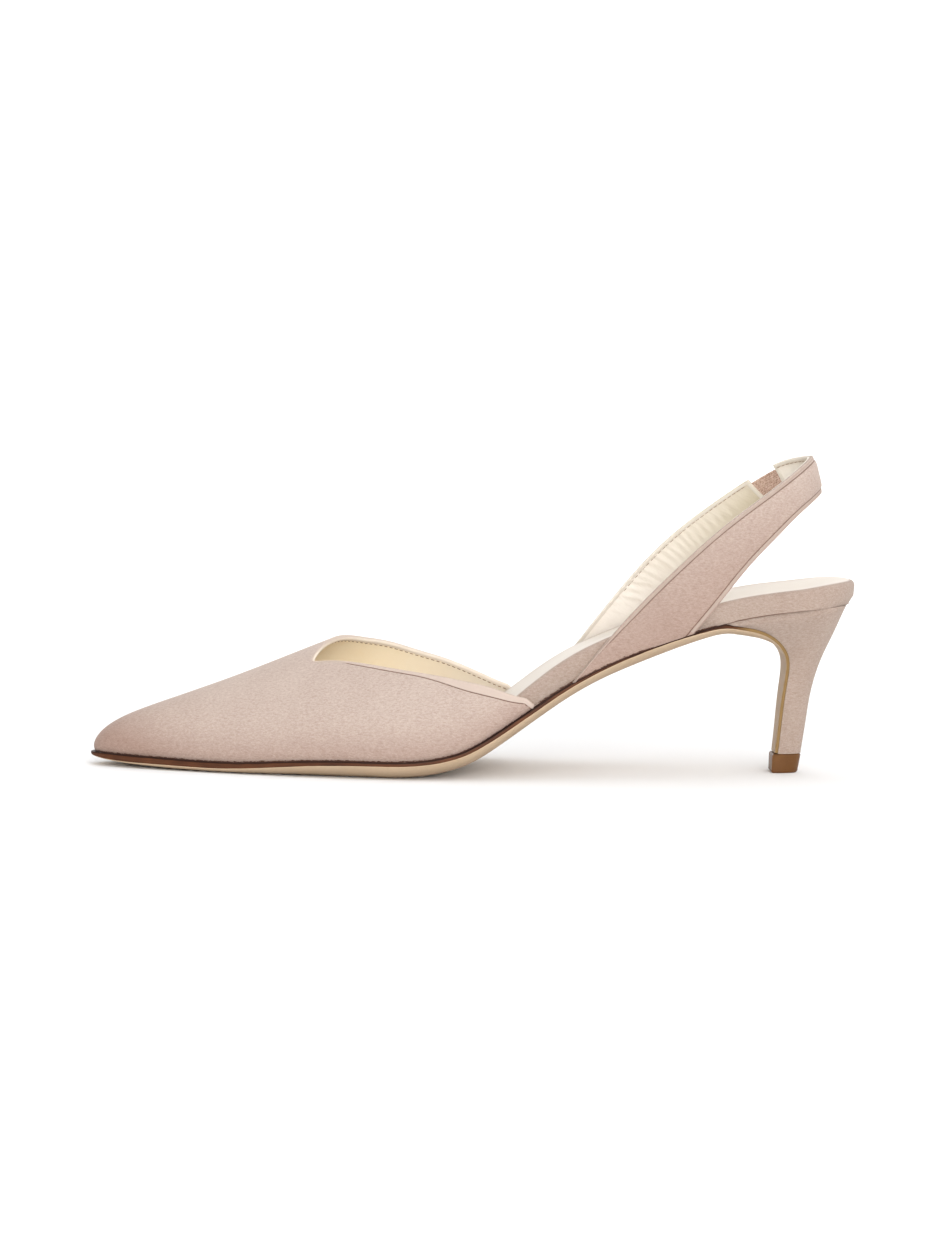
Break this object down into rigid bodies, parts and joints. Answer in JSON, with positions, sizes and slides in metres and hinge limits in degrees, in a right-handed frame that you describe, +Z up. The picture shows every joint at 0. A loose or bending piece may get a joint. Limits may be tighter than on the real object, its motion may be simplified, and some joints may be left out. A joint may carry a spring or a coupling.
{
  "type": "slingback pump shoe",
  "caption": "Left slingback pump with pointed toe, V throat, low-cut sides, slim covered heel and a sling strap with an elastic gore.",
  "frame": {"origin": "on the floor plane, under the middle of the shoe's length and width", "axes": "-X towards the toe and +X towards the heel, -Y the lateral side, +Y the medial side, +Z up from the floor"},
  "size_m": [0.2554, 0.0751, 0.107],
  "materials": {
    "suede": "blush suede with a short nap, matt",
    "cover_suede": "blush suede stretched over heel and insole rim, matt",
    "lining_leather": "smooth cream lining leather, satin",
    "elastic": "ribbed pinkish-brown elastic",
    "sole_leather": "tan sole leather with a dark dressed edge, satin",
    "lift": "brown moulded top piece, satin"
  },
  "bodies": {
    "root": {"vamp": "suede", "sling_strap": "suede", "sling_tab": "suede", "strap_elastic": "elastic", "insole": "cover_suede", "sock": "lining_leather", "outsole": "sole_leather", "heel": "cover_suede", "top_piece": "lift"}
  },
  "joints": []
}
